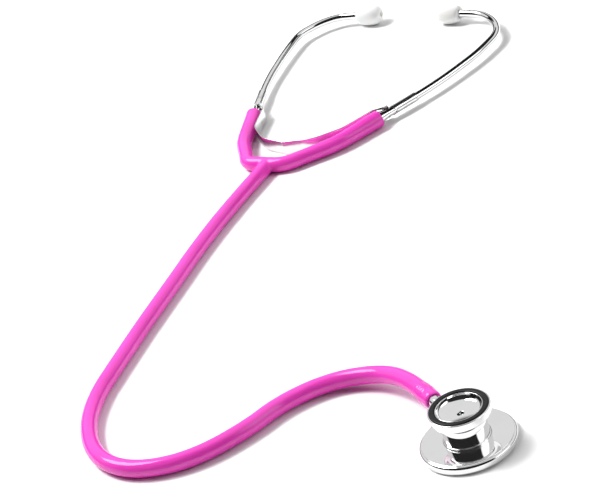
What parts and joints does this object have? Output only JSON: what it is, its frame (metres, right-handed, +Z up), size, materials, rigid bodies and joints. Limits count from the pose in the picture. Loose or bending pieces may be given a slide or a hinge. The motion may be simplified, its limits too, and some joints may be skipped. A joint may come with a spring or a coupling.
{
  "type": "stethoscope",
  "caption": "Dual-head stethoscope laid flat: soft Y tubing, sprung steel ear tubes with soft ear tips, and a swivelling chestpiece with a bell and a diaphragm.",
  "frame": {"origin": "middle of the diaphragm's contact face, which lies on the table", "axes": "+Z up the chestpiece's axis from diaphragm to bell; +Y along the headset's centreline towards the ear tips; +X completes the frame"},
  "size_m": [0.3654, 0.4893, 0.0229],
  "materials": {
    "tubing_pvc": "glossy soft PVC",
    "chrome_plate": "polished chrome plate",
    "spring_strip": "satin spring steel strip",
    "eartip_soft": "matt milky soft plastic",
    "rim_rubber": "satin black rubber",
    "diaphragm_film": "smooth stiff film",
    "detent_steel": "plain hardened steel"
  },
  "bodies": {
    "tubing": {"yoke": "tubing_pvc", "main_tube": "tubing_pvc", "tube_cuff": "tubing_pvc", "chest_stem": "chrome_plate", "arm_left": "tubing_pvc", "arm_right": "tubing_pvc", "leaf_spring": "spring_strip"},
    "binaural_left": {"ear_tube_left": "chrome_plate", "spring_sleeve_left": "spring_strip"},
    "binaural_right": {"ear_tube_right": "chrome_plate", "spring_sleeve_right": "spring_strip"},
    "tip_left": {"eartip_left": "eartip_soft"},
    "tip_right": {"eartip_right": "eartip_soft"},
    "chest_head": {"diaphragm_housing": "chrome_plate", "bell_cup": "chrome_plate", "bell_rim_ring": "rim_rubber", "diaphragm": "diaphragm_film", "diaphragm_ring": "chrome_plate", "detent_ball": "detent_steel", "detent_spring": "detent_steel", "detent_screw": "detent_steel", "stem_clip": "detent_steel"}
  },
  "joints": [
    {"name": "left_spread", "type": "hinge", "parent": "tubing", "child": "binaural_left", "pos_m": [-0.2917, 0.268, 0.0055], "axis": [0, 0, 1], "range_deg": [-3, 20], "stiffness_Nm_per_rad": 2.7, "deforming": ["arm_left", "leaf_spring"]},
    {"name": "right_spread", "type": "hinge", "parent": "tubing", "child": "binaural_right", "pos_m": [-0.2357, 0.268, 0.0055], "axis": [0, 0, -1], "range_deg": [-3, 20], "stiffness_Nm_per_rad": 2.7, "deforming": ["arm_right", "leaf_spring"]},
    {"name": "left_tip_pull", "type": "slide", "parent": "binaural_left", "child": "tip_left", "axis": [0.9934, 0.1146, 0.0014], "range_m": [0, 0.012]},
    {"name": "right_tip_pull", "type": "slide", "parent": "binaural_right", "child": "tip_right", "axis": [-0.9987, 0.051, 0.0006], "range_m": [0, 0.012]},
    {"name": "chest_swivel", "type": "hinge", "parent": "tubing", "child": "chest_head", "pos_m": [0, 0, 0.01125], "axis": [-0.8434, 0.5373, 0], "continuous": true}
  ],
  "couplings": [
    {"joint": "right_spread", "follows": "left_spread", "ratio": 1}
  ]
}
